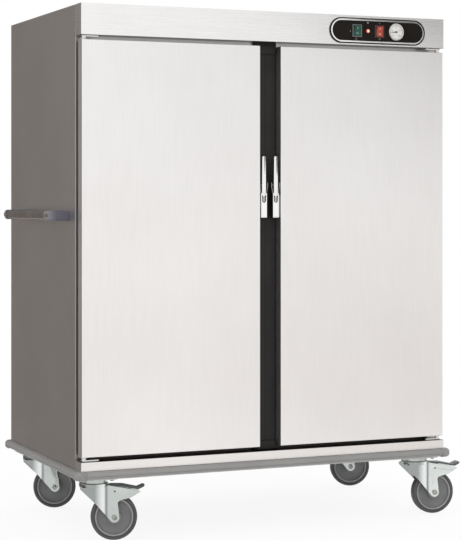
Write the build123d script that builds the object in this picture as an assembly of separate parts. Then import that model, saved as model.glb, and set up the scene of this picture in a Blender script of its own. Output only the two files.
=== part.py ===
import os
from math import cos, radians, sin

from build123d import *

# Heated holding cart with two tall doors, on four swivel casters.
# Millimetres. Doors face -Y, +Z is up, +X is to the right when facing the doors.
# The origin is on the floor under the middle of the cabinet.

# Overall size
width = 1403.0
depth = 844.0
height = 1831.0
body_bottom = 250.0
sheet = 1.2
seam = 0.3

# Front zone: header, doors and plinth stand in front of the body
door_thickness = 40.0
gasket_depth = 20.0
header_height = 107.0
plinth_height = 31.0
door_margin = 15.5
door_inset = 3.0
door_gap = 80.0

# Chambers
wall = 45.0
mullion_width = 130.0
floor_rise = 41.0
ceiling_drop = 44.0
slab_clear = 1.0
flange_reach = 36.5
flange_rise = 36.0

# Door gasket
gasket_width = 16.0
gasket_edge = 6.0
gasket_clear = 0.3

# Pivot hinges
pivot_from_side = 13.5
pivot_from_front = 20.0
pivot_d = 10.0
pivot_fit = 0.05
bush_d = 16.0
bush_length = 22.0
bush_flange_d = 20.0
bush_flange = 3.0
hinge_plate_length = 61.0
hinge_plate_width = 20.0
hinge_plate_thick = 6.0
pivot_reach = 20.0

# Black cover of the mullion
cover_width = 84.0
cover_depth = 15.0
cap_width = 72.0
cap_depth = 9.0
low_cap_gap = 3.0
low_cap_length = 28.0
high_cap_gap = 13.0
high_cap_length = 27.0

# Door latches
latch_x = 23.0
latch_pin_z = 1218.0
latch_low_drop = 116.0
latch_shoulder_drop = 28.0
latch_notch_drop = 42.0
latch_notch_depth = 20.0
latch_cheek_rise = 9.0
latch_lever_rise = 102.0
latch_body_w = 22.0
latch_cheek_w = 33.0
latch_set_back = 5.0
latch_depth = 25.0
latch_cheek_thick = 2.6
latch_floor = 2.0
latch_slot_w = 14.0
lever_w = 15.0
lever_tail_w = 4.0
lever_thick = 7.0
lever_side_clear = 0.4
latch_pin_d = 5.0
latch_pin_back = 12.0

# Control panel on the header
panel_from_side = 275.0
panel_from_top = 55.0
bezel_length = 388.0
bezel_height = 92.0
bezel_ring = 9.5
bezel_proud = 4.0
plate_proud = 2.0
green_offset = -84.5
red_offset = 6.5
rocker_w = 24.0
rocker_h = 36.0
rocker_frame_w = 38.0
rocker_frame_h = 45.0
rocker_frame_proud = 2.0
rocker_tilt = 8.0
lamp_offset = -40.5
lamp_d = 15.0
dial_offset = 71.0
dial_d = 62.0
dial_proud = 12.0
dial_face_d = 53.0
dial_body_d = 46.0
needle_shaft_d = 2.0
needle_rest = 95.0

# Side handles
handle_z = 1112.0
handle_reach = 77.0
handle_bar_d = 30.0
handle_bar_wall = 1.5
handle_middle_y = -7.5
handle_from_edge = 139.5
handle_end_length = 46.0
handle_end_height = 35.0
handle_corner = 34.0
handle_foot = 54.0
handle_socket = 24.0

# Bumper round the base
bumper_drop = 1.0
bumper_height = 25.0
bumper_proud = 24.0
bumper_round = 11.0
bumper_groove = 2.4
bumper_groove_deep = 1.6
bumper_groove_rise = 8.0
bumper_leg_rise = 4.0
bumper_corner = 39.0
bumper_corner_height = 30.0
bumper_corner_round = 30.0

# Chassis
chassis_inset_x = 6.5
chassis_inset_y = 24.0
chassis_rail_x = 140.0
chassis_rail_y = 124.0
chassis_wall = 3.0
chassis_height = 35.0
chassis_beam = 60.0

# Swivel casters
wheel_r = 80.0
wheel_width = 36.0
trail = 69.0
swivel_inset_x = 67.0
swivel_inset_y = 61.0
front_left_toe = 15.0
front_right_toe = 8.0
rear_left_toe = 15.0
rear_right_toe = 17.0
head_plate_x = 138.0
head_plate_y = 109.0
head_plate_thick = 3.5
head_race_d = 90.0
fork_race_d = 100.0
upper_race = 15.0
lower_race = 14.0
race_gap = 0.5
crown_half = 49.0
crown_reach = 54.0
crown_thick = 4.0
kingpin_d = 14.0
kingpin_head_d = 24.0
running_fit = 0.05
fork_inner = 24.0
fork_thick = 3.0
fork_boss_r = 17.0
axle_d = 12.0
hub_half = 23.4
tyre_inner_r = 70.0
hub_ring_r = 60.5
hub_web_half = 6.0
hub_boss_r = 24.0
bolt_spacing_x = 105.0
bolt_spacing_y = 80.0
bolt_d = 8.0
bolt_head_d = 14.0
bolt_head = 5.0
brake_pin_x = 70.0
brake_pin_drop = 16.0
brake_pin_d = 8.0
pedal_half = 22.0
pedal_toe_round = 12.0
pedal_thick = 4.5

# Tray racks
rack_levels = 16
rack_rise = 50.0
rack_top_space = 80.0
rack_post = 12.0
rack_post_width = 30.0
runner_width = 32.0
runner_thick = 2.0
runner_lip = 14.0
runner_front_gap = 17.0
runner_back_gap = 12.0
post_front_gap = 40.0
post_back_gap = 70.0
rack_baffle_gap = 12.0
rack_clear = 2.0

# Warm air unit in the ceiling of each chamber
fan_y = 100.0
fan_d = 150.0
fan_blade_h = 22.0
fan_drop = 32.0
fan_blades = 12
fan_shaft_d = 8.0
motor_d = 90.0
motor_rise = 20.0
motor_height = 72.0
motor_hole_d = 124.0
heater_ring_r = 100.0
heater_rod_d = 8.5
baffle_drop = 46.0
baffle_side_gap = 33.75
baffle_half_y = 180.0
baffle_inlet_d = 120.0
heater_leg_gap = 36.0
heater_drop = 20.0

# Cable gland on the back
gland_from_side = 101.5
gland_from_top = 51.0
gland_thread_d = 20.0
gland_bore_d = 10.0
gland_hexagon = 14.0

# Air slots in the back
vent_rows = 5
vent_length = 140.0
vent_width = 5.0
vent_pitch = 14.0
vent_from_top = 83.0

# Places worked out from the sizes above
half_w = width / 2
front = -depth / 2
back = depth / 2
body_front = front + door_thickness + gasket_depth
header_low = height - header_height
plinth_top = body_bottom + plinth_height
door_bottom = plinth_top + door_margin
door_top = header_low - door_margin
chamber_floor = plinth_top + floor_rise
chamber_ceiling = header_low - ceiling_drop
slab_top = header_low - slab_clear
flange_top = header_low + flange_rise
chamber_out = half_w - wall
chamber_in = mullion_width / 2
chamber_back = back - wall
chamber_x = (chamber_out + chamber_in) / 2
door_out = half_w - door_inset
door_in = door_gap / 2
door_back = front + door_thickness
pivot_x = door_out - pivot_from_side
pivot_y = front + pivot_from_front
latch_front = front + latch_set_back
axle_z = wheel_r
flange_edge = half_w - flange_reach
cap_bottom_low = plinth_top + low_cap_gap
cap_top_high = header_low - high_cap_gap
latch_low = latch_pin_z - latch_low_drop
latch_shoulder = latch_pin_z - latch_shoulder_drop
latch_notch_top = latch_pin_z - latch_notch_drop
latch_notch_low = latch_notch_top - latch_notch_depth
latch_cheek_top = latch_pin_z + latch_cheek_rise
latch_top = latch_pin_z + latch_lever_rise
panel_x = half_w - panel_from_side
panel_z = height - panel_from_top
green_x = panel_x + green_offset
red_x = panel_x + red_offset
lamp_x = panel_x + lamp_offset
dial_x = panel_x + dial_offset
handle_half = back - handle_from_edge
bumper_high = body_bottom - bumper_drop
bumper_low = bumper_high - bumper_height
chassis_half_x = half_w - chassis_inset_x
chassis_half_y = back - chassis_inset_y
chassis_bottom = body_bottom - chassis_height
swivel_x = chassis_half_x - swivel_inset_x
swivel_y = chassis_half_y - swivel_inset_y
race_joint = chassis_bottom - upper_race
crown_bottom = race_joint - lower_race
brake_pin_z = crown_bottom - brake_pin_drop
caster_scale = wheel_r / 80
baffle_z = chamber_ceiling - baffle_drop
baffle_half_x = (chamber_out - chamber_in) / 2 - baffle_side_gap
rack_low = chamber_floor + rack_rise
rack_top = baffle_z - rack_baffle_gap
rack_pitch = (rack_top - rack_low - rack_top_space) / (rack_levels - 1)
runner_front = body_front + runner_front_gap
runner_back = chamber_back - runner_back_gap
fan_low = chamber_ceiling - fan_drop
motor_low = chamber_ceiling + motor_rise
motor_high = motor_low + motor_height
heater_z = chamber_ceiling - heater_drop
heater_legs = (-heater_leg_gap / 2, heater_leg_gap / 2)
gland_x = half_w - gland_from_side
gland_z = height - gland_from_top


def block(x0, x1, y0, y1, z0, z1):
    """A box between two corners."""
    middle = Pos((x0 + x1) / 2, (y0 + y1) / 2, (z0 + z1) / 2)
    return middle * Box(abs(x1 - x0), abs(y1 - y0), abs(z1 - z0))


def rod(x, y, z0, z1, d):
    """An upright cylinder."""
    return Pos(x, y, (z0 + z1) / 2) * Cylinder(d / 2, z1 - z0)


def rod_x(x0, x1, y, z, d):
    """A cylinder along X."""
    return Pos((x0 + x1) / 2, y, z) * Rot(0, 90, 0) * Cylinder(d / 2, x1 - x0)


def rod_y(x, y0, y1, z, d):
    """A cylinder along Y."""
    return Pos(x, (y0 + y1) / 2, z) * Rot(90, 0, 0) * Cylinder(d / 2, y1 - y0)


def side_slab(points, y0, y1):
    """A flat outline in X and Z, given thickness between two Y planes."""
    face = make_face(Polyline(*[(x, -z) for x, z in points], close=True))
    return Pos(0, y0, 0) * Rot(-90, 0, 0) * extrude(face, y1 - y0)


def cross_slab(points, x0, x1):
    """A flat outline in Y and Z, given thickness between two X planes."""
    face = Plane.YZ * make_face(Polyline(*points, close=True))
    return Pos(x0, 0, 0) * extrude(face, x1 - x0)


def mirrored(shape):
    """The same piece on the other side of the cabinet."""
    return mirror(shape, about=Plane.YZ)


def save(name, *pieces):
    """One file for each named piece or set of alike pieces."""
    shape = pieces[0] if len(pieces) == 1 else Compound(children=list(pieces))
    export_step(shape, f"parts/{name}.step")


# Body sheets

def side_panel():
    """The left outer side with a flange folded in along the front."""
    skin = block(-half_w, -half_w + sheet, body_front, back, body_bottom, height)
    flange = block(-half_w, -flange_edge - seam, body_front, body_front + sheet,
                   body_bottom + sheet, height - sheet)
    return skin + flange


def back_panel():
    """The outer back with air slots high up and a hole for the gland."""
    inner = half_w - sheet
    panel = block(-inner, inner, back - sheet, back, body_bottom, height)
    reach = vent_length / 2
    for row in range(vent_rows):
        z = height - vent_from_top + vent_pitch * row
        for x in (-width / 4, 0, width / 5):
            panel -= block(x - reach, x + reach, back - 5, back + 5, z, z + vent_width)
    panel -= rod_y(gland_x, back - 5, back + 5, gland_z, gland_thread_d + 2 * seam)
    return panel


def header_box():
    """The header in front of the body, open at the back, cut for the controls."""
    box = block(-half_w, half_w, front, body_front, header_low, height)
    box -= block(-half_w + sheet, half_w - sheet, front + sheet, body_front + 1,
                 header_low + sheet, height - sheet)
    box -= control_cutouts()
    return box


def plinth_box():
    """The plinth under the doors, open at the back."""
    box = block(-half_w, half_w, front, body_front, body_bottom, plinth_top)
    box -= block(-half_w + sheet, half_w - sheet, front + sheet, body_front + 1,
                 body_bottom + sheet, plinth_top - sheet)
    return box


def chamber_liner():
    """The left chamber: a seamless box open at the front with a flange round its mouth."""
    shell = block(-chamber_out - sheet, -chamber_in + sheet, body_front, chamber_back + sheet,
                  chamber_floor - sheet, chamber_ceiling + sheet)
    flange = block(-flange_edge, -seam, body_front, body_front + sheet, body_bottom + sheet + seam, flange_top)
    liner = shell + flange
    liner -= block(-chamber_out, -chamber_in, body_front - 1, chamber_back, chamber_floor, chamber_ceiling)
    liner -= rod(-chamber_x, fan_y, chamber_ceiling - 2, chamber_ceiling + 4, 22)
    for x in heater_legs:
        liner -= rod(-chamber_x + x, fan_y + heater_ring_r, chamber_ceiling - 2, chamber_ceiling + 4,
                     heater_rod_d + 2 * seam)
    return liner


def insulation():
    """The six slabs of mineral wool between the outer and inner sheets."""
    inner_front = body_front + sheet
    out = chamber_out + sheet
    low = body_bottom + sheet
    left = block(-half_w + sheet, -out, inner_front, back - sheet, low, slab_top)
    rear = block(-out, out, chamber_back + sheet, back - sheet, low, slab_top)
    middle = block(-chamber_in + sheet, chamber_in - sheet, inner_front, chamber_back + sheet,
                   chamber_floor - sheet, chamber_ceiling + sheet)
    floor = block(-out, out, inner_front, chamber_back + sheet, low, chamber_floor - sheet)
    ceiling = block(-out, out, inner_front, chamber_back + sheet, chamber_ceiling + sheet, slab_top)
    for side in (-1, 1):
        ceiling -= rod(side * chamber_x, fan_y, chamber_ceiling, slab_top + 1, motor_hole_d)
        for x in heater_legs:
            ceiling -= rod(side * chamber_x + x, fan_y + heater_ring_r, chamber_ceiling, slab_top + 1,
                           heater_rod_d + 2 * seam)
    return left, mirrored(left), rear, middle, floor, ceiling


def chassis():
    """A welded frame of channels, open at the top, drilled for the caster bolts."""
    outer = block(-chassis_half_x, chassis_half_x, -chassis_half_y, chassis_half_y,
                  chassis_bottom, body_bottom)
    window = block(-chassis_half_x + chassis_rail_x, chassis_half_x - chassis_rail_x,
                   -chassis_half_y + chassis_rail_y, chassis_half_y - chassis_rail_y,
                   chassis_bottom - 1, body_bottom + 1)
    t = chassis_wall
    trough = block(-chassis_half_x + t, chassis_half_x - t, -chassis_half_y + t, chassis_half_y - t,
                   chassis_bottom + t, body_bottom + 1)
    trough -= block(-chassis_half_x + chassis_rail_x - t, chassis_half_x - chassis_rail_x + t,
                    -chassis_half_y + chassis_rail_y - t, chassis_half_y - chassis_rail_y + t,
                    chassis_bottom, body_bottom + 1)
    frame = outer - window - trough
    b = chassis_beam / 2
    beam = block(-b, b, -chassis_half_y + chassis_rail_y, chassis_half_y - chassis_rail_y,
                 chassis_bottom, body_bottom)
    beam -= block(-b + t, b - t, -chassis_half_y, chassis_half_y, chassis_bottom + t, body_bottom + 1)
    frame += beam
    for x, y in bolt_places():
        frame -= rod(x, y, chassis_bottom - 1, chassis_bottom + t + 1, bolt_d + 2 * seam)
    return frame


def bolt_places():
    """Where the sixteen caster bolts stand."""
    places = []
    for sx in (-1, 1):
        for sy in (-1, 1):
            for ax in (-1, 1):
                for ay in (-1, 1):
                    places.append((sx * swivel_x + ax * bolt_spacing_x / 2,
                                   sy * swivel_y + ay * bolt_spacing_y / 2))
    return places


def caster_bolt(x, y):
    """A hexagon bolt from below with its nut inside the chassis channel."""
    top = chassis_bottom + chassis_wall
    plate_low = chassis_bottom - head_plate_thick
    head = Pos(x, y, plate_low - bolt_head) * extrude(RegularPolygon(bolt_head_d / 2, 6), bolt_head)
    nut = Pos(x, y, top) * extrude(RegularPolygon(bolt_head_d / 2, 6), bolt_head)
    return head + rod(x, y, plate_low - 1, top + 8, bolt_d) + nut


# Mullion cover between the doors

def mullion_cover():
    """A black channel, shallow in front, that closes the gap behind the two doors."""
    y0 = body_front - cover_depth
    cover = block(-cover_width / 2, cover_width / 2, y0, body_front,
                  plinth_top + seam, header_low - seam)
    cover -= block(-cover_width / 2 + 3, cover_width / 2 - 3, y0 + 3, body_front + 1,
                   plinth_top, header_low)
    groove = block(-1.5, 1.5, y0 - 1, y0 + 1, plinth_top, header_low)
    return cover - groove


def mullion_cap(z0, z1):
    """A moulded end cap with rounded edges."""
    y1 = body_front - cover_depth
    cap = block(-cap_width / 2, cap_width / 2, y1 - cap_depth, y1, z0, z1)
    return fillet(cap.edges().filter_by(Axis.Z).group_by(Axis.Y)[0], 3)


# Doors

def door_skin():
    """The left door's outer sheet, a pan with its edges folded back."""
    skin = block(-door_out, -door_in, front, door_back, door_bottom, door_top)
    skin = fillet(skin.edges().group_by(Axis.Y)[0], 2)
    skin -= block(-door_out + sheet, -door_in - sheet, front + sheet, door_back + 1,
                  door_bottom + sheet, door_top - sheet)
    skin -= rod(-pivot_x, pivot_y, door_bottom - 1, door_bottom + 5, bush_d)
    skin -= rod(-pivot_x, pivot_y, door_top - 5, door_top + 1, bush_d)
    return skin


def door_core():
    """The insulating foam that fills the door."""
    core = block(-door_out + sheet, -door_in - sheet, front + sheet, door_back - sheet,
                 door_bottom + sheet, door_top - sheet)
    core = fillet(core.edges().group_by(Axis.Y)[0], 1)
    core -= rod(-pivot_x, pivot_y, door_bottom - 1, door_bottom + bush_length + pivot_reach, bush_d)
    core -= rod(-pivot_x, pivot_y, door_top - bush_length - pivot_reach, door_top + 1, bush_d)
    return core


def door_liner():
    """The left door's inner sheet with a shallow pressed border."""
    inner = block(-door_out + sheet, -door_in - sheet, door_back - sheet, door_back,
                  door_bottom + sheet, door_top - sheet)
    x0 = -door_out + 60
    x1 = -door_in - 60
    dish = block(x0, x1, door_back - sheet, door_back + 6, door_bottom + 60, door_top - 60)
    dish = chamfer(dish.edges().group_by(Axis.Y)[-1], 5)
    dish -= block(x0 + 8, x1 - 8, door_back - 4, door_back + 6 - sheet, door_bottom + 68, door_top - 68)
    inner -= block(x0 + 8, x1 - 8, door_back - 4, door_back + 1, door_bottom + 68, door_top - 68)
    return inner + dish


def door_gasket():
    """The soft seal round the inside of the door, with a bellows fold in its side."""
    hinge_side = pivot_x - 1
    handle_side = door_in + gasket_edge
    z0 = door_bottom + gasket_edge
    z1 = door_top - gasket_edge
    y1 = body_front - gasket_clear

    def ring(grow, y_from, y_to):
        outer = block(-hinge_side - grow, -handle_side + grow, y_from, y_to, z0 - grow, z1 + grow)
        w = gasket_width + 2 * grow
        return outer - block(-hinge_side - grow + w, -handle_side + grow - w, y_from - 1, y_to + 1,
                             z0 - grow + w, z1 + grow - w)

    base = ring(0, door_back, door_back + 5)
    neck = ring(-3, door_back + 5, door_back + 11)
    lip = ring(0, door_back + 11, y1)
    return base + neck + lip


def door_bush(low):
    """A plastic bearing bush with a collar outside the door's edge."""
    if low:
        body = rod(-pivot_x, pivot_y, door_bottom, door_bottom + bush_length, bush_d)
        collar = rod(-pivot_x, pivot_y, door_bottom - bush_flange, door_bottom, bush_flange_d)
    else:
        body = rod(-pivot_x, pivot_y, door_top - bush_length, door_top, bush_d)
        collar = rod(-pivot_x, pivot_y, door_top, door_top + bush_flange, bush_flange_d)
    bore = rod(-pivot_x, pivot_y, door_bottom - 10, door_top + 10, pivot_d + 2 * pivot_fit)
    return body + collar - bore


def hinge_plate(low):
    """A plate fixed to the plinth or header with its pivot pin and shoulder."""
    x0 = -pivot_x - 9
    x1 = x0 + hinge_plate_length
    y0 = pivot_y - hinge_plate_width / 2
    y1 = pivot_y + hinge_plate_width / 2
    if low:
        plate = block(x0, x1, y0, y1, plinth_top, plinth_top + hinge_plate_thick)
        plate = fillet(plate.edges().filter_by(Axis.Z), 6)
        shoulder_top = door_bottom - bush_flange - seam
        plate += rod(-pivot_x, pivot_y, plinth_top + 1, shoulder_top, bush_d)
        plate += rod(-pivot_x, pivot_y, plinth_top + 1, door_bottom + pivot_reach, pivot_d)
    else:
        plate = block(x0, x1, y0, y1, header_low - hinge_plate_thick, header_low)
        plate = fillet(plate.edges().filter_by(Axis.Z), 6)
        plate += rod(-pivot_x, pivot_y, door_top + bush_flange + seam, header_low - 1, bush_d)
        plate += rod(-pivot_x, pivot_y, door_top - pivot_reach, header_low - 1, pivot_d)
    return plate


# Latches

def latch_housing():
    """The cast body on the left door's inner edge: a notched block, two thin cheeks, a foot on the door."""
    x = -latch_x
    half = latch_body_w / 2
    outer = latch_cheek_w / 2
    y0 = latch_front
    y1 = latch_front + latch_depth
    body = block(x - half, x + half, y0, y1, latch_low, latch_shoulder)
    body = fillet(body.edges().group_by(Axis.Y)[0].group_by(Axis.Z)[0], 5)
    t = latch_cheek_thick
    for side in (-1, 1):
        body += side_slab([(x + side * half, latch_shoulder - 4), (x + side * outer, latch_pin_z - 5),
                           (x + side * outer, latch_cheek_top), (x + side * (outer - t), latch_cheek_top),
                           (x + side * (outer - t), latch_pin_z - 5), (x + side * (half - t), latch_shoulder - 4)],
                          y0 + 3, y1 - 4)
    inner = lever_w / 2 + lever_side_clear
    floor = y1 - latch_floor
    body -= block(x - inner, x + inner, y0 - 1, floor, latch_notch_top, latch_shoulder + 1)
    slot = latch_slot_w / 2
    body -= block(x - slot, x + slot, y0 - 1, floor, latch_notch_low + slot, latch_notch_top + 1)
    body -= rod_y(x, y0 - 1, floor, latch_notch_low + slot, latch_slot_w)
    foot = block(-door_in, x - half + 1, y0 + 6, y1, latch_low + 3, latch_shoulder - 6)
    body += foot
    return body - rod_x(x - 20, x + 20, y0 + latch_pin_back, latch_pin_z, latch_pin_d)


def latch_pin():
    """The pin the lever turns on."""
    half = latch_cheek_w / 2
    return rod_x(-latch_x - half, -latch_x + half, latch_front + latch_pin_back, latch_pin_z, latch_pin_d)


def latch_lever():
    """The slim lever: narrow tail in the notch, pivot eye, long handle."""
    x = -latch_x
    h = lever_w / 2
    tail = lever_tail_w / 2
    low = latch_notch_low + 3
    outline = [(x - tail, low), (x + tail, low), (x + tail, latch_notch_top + 2), (x + h, latch_notch_top + 6),
               (x + h, latch_pin_z + 16), (x + h - 1, latch_top - 3), (x + h - 3, latch_top),
               (x - h + 3, latch_top), (x - h + 1, latch_top - 3), (x - h, latch_pin_z + 16),
               (x - h, latch_notch_top + 6), (x - tail, latch_notch_top + 2)]
    lever = side_slab(outline, latch_front, latch_front + lever_thick)
    eye = rod_x(x - h, x + h, latch_front + latch_pin_back, latch_pin_z, 12)
    web = block(x - h, x + h, latch_front + 3, latch_front + latch_pin_back, latch_pin_z - 6, latch_pin_z + 6)
    lever = lever + eye + web
    return lever - rod_x(x - 20, x + 20, latch_front + latch_pin_back, latch_pin_z,
                         latch_pin_d + 2 * running_fit)


# Control panel

def stadium(length, tall, y0, y1):
    """A long plate with round ends, standing on the header's front."""
    face = Plane.XZ * SlotOverall(length, tall)
    return Pos(panel_x, y1, panel_z) * extrude(face, y1 - y0)


def control_cutouts():
    """Holes through the header and the plate behind each control."""
    holes = rod_y(lamp_x, front - 10, front + 10, panel_z, lamp_d - 3 + 2 * seam)
    holes += rod_y(dial_x, front - 10, front + 10, panel_z, dial_body_d + 2 * seam)
    for x in (green_x, red_x):
        w = rocker_frame_w / 2 - 3 + seam
        h = rocker_frame_h / 2 - 2.5 + seam
        holes += block(x - w, x + w, front - 10, front + 10, panel_z - h, panel_z + h)
    return holes


def control_bezel():
    """The polished ring round the control plate."""
    ring = stadium(bezel_length, bezel_height, front - bezel_proud, front)
    ring = fillet(ring.edges().group_by(Axis.Y)[0], 1.8)
    inner_l = bezel_length - 2 * bezel_ring
    inner_h = bezel_height - 2 * bezel_ring
    return ring - stadium(inner_l, inner_h, front - bezel_proud - 1, front + 1)


def control_plate():
    """The black plate with round ends that carries the controls."""
    inner_l = bezel_length - 2 * bezel_ring - 2 * seam
    inner_h = bezel_height - 2 * bezel_ring - 2 * seam
    return stadium(inner_l, inner_h, front - plate_proud, front) - control_cutouts()


def rocker_frame(x):
    """A switch body behind the header with a thin frame outside it."""
    y0 = front - plate_proud
    w = rocker_frame_w / 2
    h = rocker_frame_h / 2
    frame = block(x - w, x + w, y0 - rocker_frame_proud, y0, panel_z - h, panel_z + h)
    frame = chamfer(frame.edges().group_by(Axis.Y)[0], 0.8)
    frame += block(x - w + 3, x + w - 3, y0 - 1, front + 26, panel_z - h + 2.5, panel_z + h - 2.5)
    pocket_w = rocker_w / 2 + 0.5
    pocket_h = rocker_h / 2 + 1.2
    return frame - block(x - pocket_w, x + pocket_w, y0 - 10, front + 10,
                         panel_z - pocket_h, panel_z + pocket_h)


def rocker(x):
    """A rocker with a shallow V face, resting with its lower half pressed in."""
    out = front - plate_proud - rocker_frame_proud
    half = rocker_h / 2
    outline = [(-half, -2.5), (-half, 4.2), (0, 2.0), (half, 4.2), (half, -2.5), (0, -6)]
    a = radians(rocker_tilt)
    placed = []
    for up, outward in outline:
        y = out - (outward * cos(a) + up * sin(a))
        z = panel_z + up * cos(a) - outward * sin(a)
        placed.append((y, z))
    return cross_slab(placed, x - rocker_w / 2, x + rocker_w / 2)


def pilot_lamp():
    """A round lens on a narrow lamp body."""
    y0 = front - plate_proud
    lens = rod_y(lamp_x, y0 - 3.5, y0, panel_z, lamp_d)
    lens = fillet(lens.edges().group_by(Axis.Y)[0], 2.5)
    return lens + rod_y(lamp_x, y0 - 1, front + 24, panel_z, lamp_d - 3)


def dial_case():
    """The thermometer: case with a raised rim and a sunk face, and its glass."""
    y0 = front - plate_proud
    case = rod_y(dial_x, y0 - dial_proud, y0, panel_z, dial_d)
    case = fillet(case.edges().group_by(Axis.Y)[0], 2)
    case += rod_y(dial_x, y0 - 1, front + 30, panel_z, dial_body_d)
    case -= rod_y(dial_x, y0 - dial_proud - 1, y0 - dial_proud + 5, panel_z, dial_face_d)
    case -= rod_y(dial_x, y0 - dial_proud, y0 - 2, panel_z, needle_shaft_d + 2 * running_fit)
    glass = rod_y(dial_x, y0 - dial_proud + 0.4, y0 - dial_proud + 1.4, panel_z, dial_face_d)
    return case, glass


def dial_needle():
    """The pointer on its spindle, pointing up and to the left at rest."""
    face_y = front - plate_proud - dial_proud + 5
    tip = dial_face_d / 2 - 5
    pointer = side_slab([(-1.3, -7), (1.3, -7), (0.5, tip), (-0.5, tip)], face_y - 2.2, face_y - 1.4)
    pointer = Pos(dial_x, 0, panel_z) * Rot(0, -needle_rest, 0) * pointer
    hub = rod_y(dial_x, face_y - 2.6, face_y - 0.6, panel_z, 6)
    return pointer + hub + rod_y(dial_x, face_y - 1, face_y + 4, panel_z, needle_shaft_d)


# Side handles

def handle_bar():
    """The left grip, a round tube."""
    x = -half_w - handle_reach + handle_bar_d / 2 + 0.5
    half = handle_half - handle_end_length + handle_socket
    y0 = handle_middle_y - half
    y1 = handle_middle_y + half
    return rod_y(x, y0, y1, handle_z, handle_bar_d) - rod_y(x, y0 - 1, y1 + 1, handle_z,
                                                            handle_bar_d - 2 * handle_bar_wall)


def handle_end():
    """The front end of the left handle: a bracket that turns in a round corner from the wall to the bar."""
    wall_x = -half_w
    out = wall_x - handle_reach
    y0 = handle_middle_y - handle_half
    y_socket = y0 + handle_end_length
    y_corner = y_socket - 4
    outer_curve = Spline((wall_x, y0), (out + handle_corner, y0 + 5), (out, y_corner),
                         tangents=((-1, 0.03), (0, 1)))
    inner_side = Polyline((out, y_corner), (out, y_socket), (wall_x - 10, y_socket), (wall_x, y0 + handle_foot))
    foot = Line((wall_x, y0 + handle_foot), (wall_x, y0))
    face = make_face([outer_curve, inner_side, foot])
    end = Pos(0, 0, handle_z - handle_end_height / 2) * extrude(face, handle_end_height)
    rims = end.edges().group_by(Axis.Z)[0] + end.edges().group_by(Axis.Z)[-1]
    end = fillet([e for e in rims if e.center().X < wall_x - 12 and e.center().Y < y_corner - 1], 9)
    bar_x = out + handle_bar_d / 2 + 0.5
    return end - rod_y(bar_x, y_socket - handle_socket, y_socket + 1, handle_z, handle_bar_d)


# Bumper

def long_bumper():
    """The front rail: a rounded nose with a fine groove, and a leg back to the chassis."""
    half = half_w + bumper_proud - bumper_corner
    nose = block(-half + seam, half - seam, front - bumper_proud, front, bumper_low, bumper_high)
    nose = fillet(nose.edges().group_by(Axis.Y)[0].filter_by(Axis.X), bumper_round)
    groove = bumper_low + bumper_groove_rise
    nose -= block(-half, half, front - bumper_proud - 1, front - bumper_proud + bumper_groove_deep,
                  groove, groove + bumper_groove)
    leg = block(-half + seam, half - seam, front, -chassis_half_y, bumper_low + bumper_leg_rise,
                bumper_high)
    return nose + leg


def short_bumper():
    """The left rail: a rounded nose with a fine groove, and a leg back to the chassis."""
    half = -front + bumper_proud - bumper_corner
    nose = block(-half_w - bumper_proud, -half_w, -half + seam, half - seam, bumper_low, bumper_high)
    nose = fillet(nose.edges().group_by(Axis.X)[0].filter_by(Axis.Y), bumper_round)
    groove = bumper_low + bumper_groove_rise
    nose -= block(-half_w - bumper_proud - 1, -half_w - bumper_proud + bumper_groove_deep, -half, half,
                  groove, groove + bumper_groove)
    leg = block(-half_w, -chassis_half_x, -half + seam, half - seam, bumper_low + bumper_leg_rise,
                bumper_high)
    return nose + leg


def bumper_corner_piece():
    """The moulded corner at the front left, rounded in plan and along its nose."""
    x0 = -half_w - bumper_proud
    y0 = front - bumper_proud
    piece = block(x0, x0 + bumper_corner, y0, y0 + bumper_corner, body_bottom - bumper_corner_height,
                  body_bottom)
    upright = piece.edges().filter_by(Axis.Z).sort_by(lambda e: e.center().X + e.center().Y)[0]
    piece = fillet(upright, bumper_corner_round)
    rim = [e for e in piece.edges().group_by(Axis.Z)[0] + piece.edges().group_by(Axis.Z)[-1]
           if e.center().X < x0 + bumper_corner - 0.5 and e.center().Y < y0 + bumper_corner - 0.5]
    piece = fillet(rim, bumper_round)
    return piece - block(-half_w, 0, front, 0, bumper_high, height)


# Casters, built round the swivel axis with the wheel trailing to +X

def placed(shape, sx, sy, toe):
    """Turn a caster part by its toe angle and stand it at its corner."""
    return Pos(sx * swivel_x, sy * swivel_y, 0) * Rot(0, 0, -toe) * shape


def caster_head(sx, sy):
    """Top plate, upper race and kingpin, bolted under the chassis."""
    plate = block(-head_plate_x / 2, head_plate_x / 2, -head_plate_y / 2, head_plate_y / 2,
                  chassis_bottom - head_plate_thick, chassis_bottom)
    plate = fillet(plate.edges().filter_by(Axis.Z), 8)
    for ax in (-1, 1):
        for ay in (-1, 1):
            plate -= rod(ax * bolt_spacing_x / 2, ay * bolt_spacing_y / 2, chassis_bottom - 10,
                         chassis_bottom + 1, bolt_d + 2 * seam)
    race = rod(0, 0, race_joint + race_gap, chassis_bottom - head_plate_thick, head_race_d)
    pin = rod(0, 0, crown_bottom - 4, chassis_bottom - 1, kingpin_d)
    rivet = rod(0, 0, crown_bottom - 4, crown_bottom - race_gap, kingpin_head_d)
    return Pos(sx * swivel_x, sy * swivel_y, 0) * (plate + race + pin + rivet)


def drawn(points, level):
    """Points drawn for the caster: reach from the swivel axis and height from a level."""
    return [(x * caster_scale, level + z * caster_scale) for x, z in points]


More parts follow.
